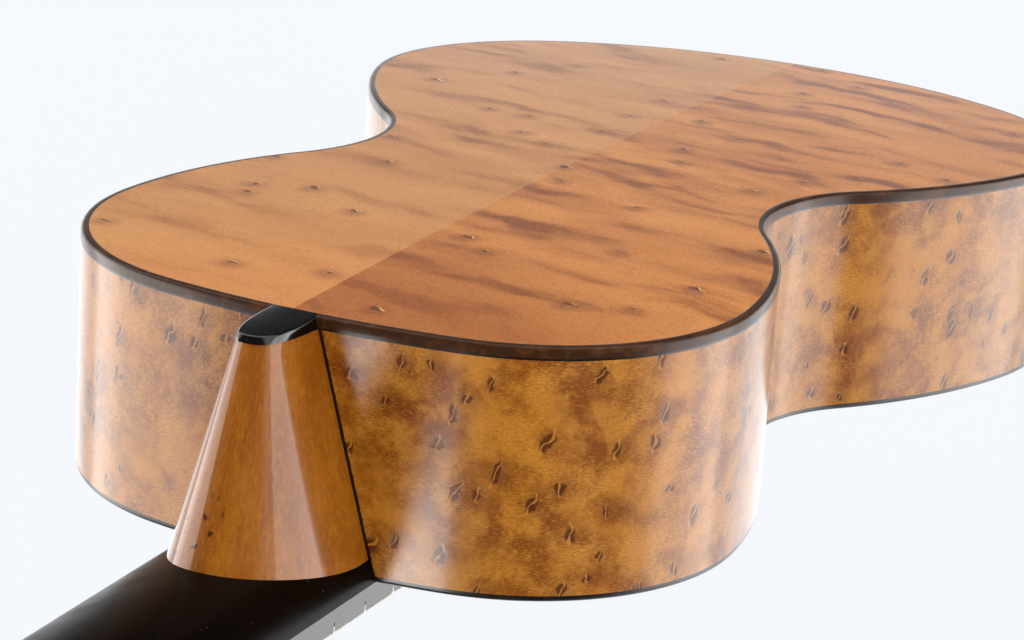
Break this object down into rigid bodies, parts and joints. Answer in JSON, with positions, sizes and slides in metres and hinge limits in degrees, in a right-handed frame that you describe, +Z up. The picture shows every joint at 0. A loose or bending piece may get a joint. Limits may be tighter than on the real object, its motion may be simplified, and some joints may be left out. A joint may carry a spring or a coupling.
{
  "type": "acoustic guitar",
  "caption": "Small-bodied acoustic guitar with an arched figured maple back, cone heel, dark neck and slotted head with worm-geared tuning machines.",
  "frame": {"origin": "middle of the front edge of the nut, in the plane where the fingerboard is glued to the neck, between the two arms of a wall hanger that hold the head", "axes": "+Z up the neck towards the head, +Y out of the back of the body, +X towards the treble side; the soundboard face lies in the plane Y = 0"},
  "size_m": [0.283, 0.098, 0.9618],
  "materials": {
    "maple_back": "figured maple, satin amber varnish",
    "maple_side": "birdseye maple, gloss amber varnish",
    "spruce": "straight-grained spruce, satin varnish",
    "inner_wood": "bare wood",
    "rosette_inlay": "dark wood inlay, satin",
    "dark_binding": "dark rosewood, gloss",
    "purfling": "black dyed wood, gloss",
    "ebony": "polished ebony",
    "ebonised_wood": "black stained wood, satin",
    "bone": "polished bone",
    "fret_metal": "polished nickel silver",
    "plain_string": "clear amber nylon or gut",
    "wound_string": "silver-plated wire winding",
    "brass": "aged brass, satin",
    "steel": "polished steel",
    "pearl": "pearly cream, gloss"
  },
  "bodies": {
    "root": {"back_bass_half": "maple_back", "back_binding": "dark_binding", "back_braces": "inner_wood", "back_centre_strip": "inner_wood", "back_linings": "inner_wood", "back_treble_half": "maple_back", "bridge": "ebony", "bridge_pins": "ebony", "bridge_plate": "inner_wood", "end_graft": "dark_binding", "end_pin": "ebony", "fingerboard": "ebony", "frets": "fret_metal", "head_block": "inner_wood", "headplate": "ebony", "headstock": "ebonised_wood", "heel": "maple_side", "heel_cap": "ebony", "neck_shaft": "ebonised_wood", "nut": "bone", "purfling": "purfling", "rosette": "rosette_inlay", "saddle": "bone", "side_bass": "maple_side", "side_treble": "maple_side", "soundboard_bass_half": "spruce", "soundboard_braces": "inner_wood", "soundboard_treble_half": "spruce", "string_1": "plain_string", "string_2": "plain_string", "string_3": "plain_string", "string_4": "wound_string", "string_5": "wound_string", "string_6": "wound_string", "tail_block": "inner_wood", "top_binding": "dark_binding", "top_linings": "inner_wood", "tuner_plate_bass": "brass", "tuner_plate_treble": "brass", "tuner_screws": "steel"},
    "tuner_key_1": {"key_1": "steel", "button_1": "pearl"},
    "string_roller_1": {"roller_1": "brass"},
    "tuner_key_2": {"key_2": "steel", "button_2": "pearl"},
    "string_roller_2": {"roller_2": "brass"},
    "tuner_key_3": {"key_3": "steel", "button_3": "pearl"},
    "string_roller_3": {"roller_3": "brass"},
    "tuner_key_4": {"key_4": "steel", "button_4": "pearl"},
    "string_roller_4": {"roller_4": "brass"},
    "tuner_key_5": {"key_5": "steel", "button_5": "pearl"},
    "string_roller_5": {"roller_5": "brass"},
    "tuner_key_6": {"key_6": "steel", "button_6": "pearl"},
    "string_roller_6": {"roller_6": "brass"}
  },
  "joints": [
    {"name": "key_turn_1", "type": "hinge", "parent": "root", "child": "tuner_key_1", "pos_m": [0.0398, 0.02283, 0.06387], "axis": [0, 0.9744, -0.225], "continuous": true},
    {"name": "roller_turn_1", "type": "hinge", "parent": "root", "child": "string_roller_1", "pos_m": [0.02, 0.02114, 0.05657], "axis": [1, 0, 0], "continuous": true},
    {"name": "key_turn_2", "type": "hinge", "parent": "root", "child": "tuner_key_2", "pos_m": [0.0398, 0.0307, 0.09798], "axis": [0, 0.9744, -0.225], "continuous": true},
    {"name": "roller_turn_2", "type": "hinge", "parent": "root", "child": "string_roller_2", "pos_m": [0.02, 0.02901, 0.09067], "axis": [1, 0, 0], "continuous": true},
    {"name": "key_turn_3", "type": "hinge", "parent": "root", "child": "tuner_key_3", "pos_m": [0.0398, 0.03857, 0.13208], "axis": [0, 0.9744, -0.225], "continuous": true},
    {"name": "roller_turn_3", "type": "hinge", "parent": "root", "child": "string_roller_3", "pos_m": [0.02, 0.03689, 0.12477], "axis": [1, 0, 0], "continuous": true},
    {"name": "key_turn_4", "type": "hinge", "parent": "root", "child": "tuner_key_4", "pos_m": [-0.0398, 0.03857, 0.13208], "axis": [0, 0.9744, -0.225], "continuous": true},
    {"name": "roller_turn_4", "type": "hinge", "parent": "root", "child": "string_roller_4", "pos_m": [-0.02, 0.03689, 0.12477], "axis": [1, 0, 0], "continuous": true},
    {"name": "key_turn_5", "type": "hinge", "parent": "root", "child": "tuner_key_5", "pos_m": [-0.0398, 0.0307, 0.09798], "axis": [0, 0.9744, -0.225], "continuous": true},
    {"name": "roller_turn_5", "type": "hinge", "parent": "root", "child": "string_roller_5", "pos_m": [-0.02, 0.02901, 0.09067], "axis": [1, 0, 0], "continuous": true},
    {"name": "key_turn_6", "type": "hinge", "parent": "root", "child": "tuner_key_6", "pos_m": [-0.0398, 0.02283, 0.06387], "axis": [0, 0.9744, -0.225], "continuous": true},
    {"name": "roller_turn_6", "type": "hinge", "parent": "root", "child": "string_roller_6", "pos_m": [-0.02, 0.02114, 0.05657], "axis": [1, 0, 0], "continuous": true}
  ],
  "couplings": [
    {"joint": "roller_turn_1", "follows": "key_turn_1", "ratio": 0.071429},
    {"joint": "roller_turn_2", "follows": "key_turn_2", "ratio": 0.071429},
    {"joint": "roller_turn_3", "follows": "key_turn_3", "ratio": 0.071429},
    {"joint": "roller_turn_4", "follows": "key_turn_4", "ratio": 0.071429},
    {"joint": "roller_turn_5", "follows": "key_turn_5", "ratio": 0.071429},
    {"joint": "roller_turn_6", "follows": "key_turn_6", "ratio": 0.071429}
  ]
}
